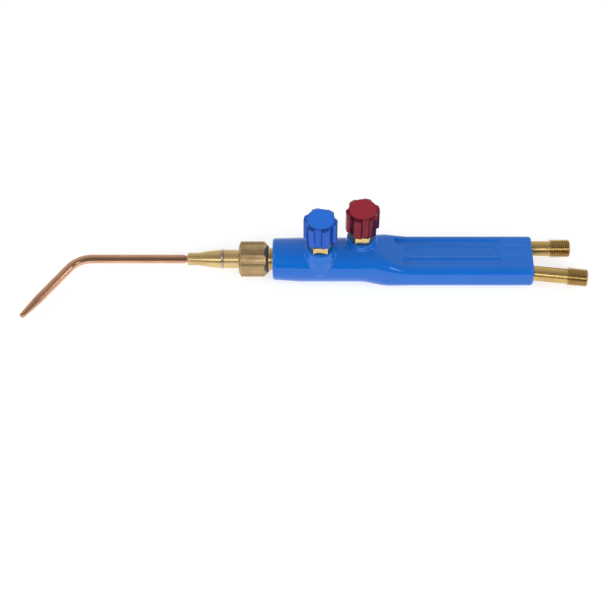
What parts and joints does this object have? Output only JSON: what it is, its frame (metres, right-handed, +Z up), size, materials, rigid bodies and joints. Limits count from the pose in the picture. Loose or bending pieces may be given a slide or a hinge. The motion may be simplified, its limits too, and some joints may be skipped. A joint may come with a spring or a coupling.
{
  "type": "gas welding torch",
  "caption": "Hand-held oxy-fuel torch: flat-gripped handle with lobed oxygen and fuel valve knobs, threaded hose ends, union nut, brass neck and bent copper tip.",
  "frame": {"origin": "middle of the grip's flat underside, below the neck's axis", "axes": "+X along the torch from the nozzle to the hose ends, +Y to the fuel side, +Z up through the valve knobs"},
  "size_m": [0.4016, 0.0661, 0.0597],
  "materials": {
    "blue_paint": "gloss blue paint over cast aluminium",
    "brass": "turned and polished brass",
    "copper": "drawn copper tube, lightly brushed",
    "blue_anodised": "satin blue anodised",
    "red_anodised": "satin red anodised",
    "dark_steel": "dark spring steel",
    "rubber": "matte black"
  },
  "bodies": {
    "handle": {"handle_casting": "blue_paint", "oxygen_hose_stub": "brass", "fuel_hose_stub": "brass", "oxygen_gas_tube": "copper", "fuel_gas_tube": "copper", "oxygen_valve_seat": "brass", "fuel_valve_seat": "brass", "oxygen_gland_nut": "brass", "fuel_gland_nut": "brass", "oxygen_packing_ring": "rubber", "fuel_packing_ring": "rubber", "front_spigot": "brass"},
    "oxygen_valve": {"oxygen_spindle": "brass", "oxygen_knob": "blue_anodised", "oxygen_knob_screw": "dark_steel"},
    "fuel_valve": {"fuel_spindle": "brass", "fuel_knob": "red_anodised", "fuel_knob_screw": "dark_steel"},
    "union_nut": {"union_nut": "brass"},
    "neck": {"neck": "brass", "retaining_wire": "dark_steel", "front_mixer_ring": "rubber", "rear_mixer_ring": "rubber", "mixer_injector": "brass", "copper_tip": "copper"}
  },
  "joints": [
    {"name": "oxygen_knob_turn", "type": "hinge", "parent": "handle", "child": "oxygen_valve", "pos_m": [-0.1061, -0.0047, 0.0127], "axis": [0, 0, 1], "range_deg": [0, 720]},
    {"name": "fuel_knob_turn", "type": "hinge", "parent": "handle", "child": "fuel_valve", "pos_m": [-0.0766, 0.0047, 0.0127], "axis": [0, 0, 1], "range_deg": [0, 720]},
    {"name": "union_nut_turn", "type": "hinge", "parent": "handle", "child": "union_nut", "pos_m": [-0.15, 0, 0.0127], "axis": [1, 0, 0], "range_deg": [-180, 0]},
    {"name": "neck_swivel", "type": "hinge", "parent": "handle", "child": "neck", "pos_m": [-0.18, 0, 0.0127], "axis": [1, 0, 0], "continuous": true}
  ]
}
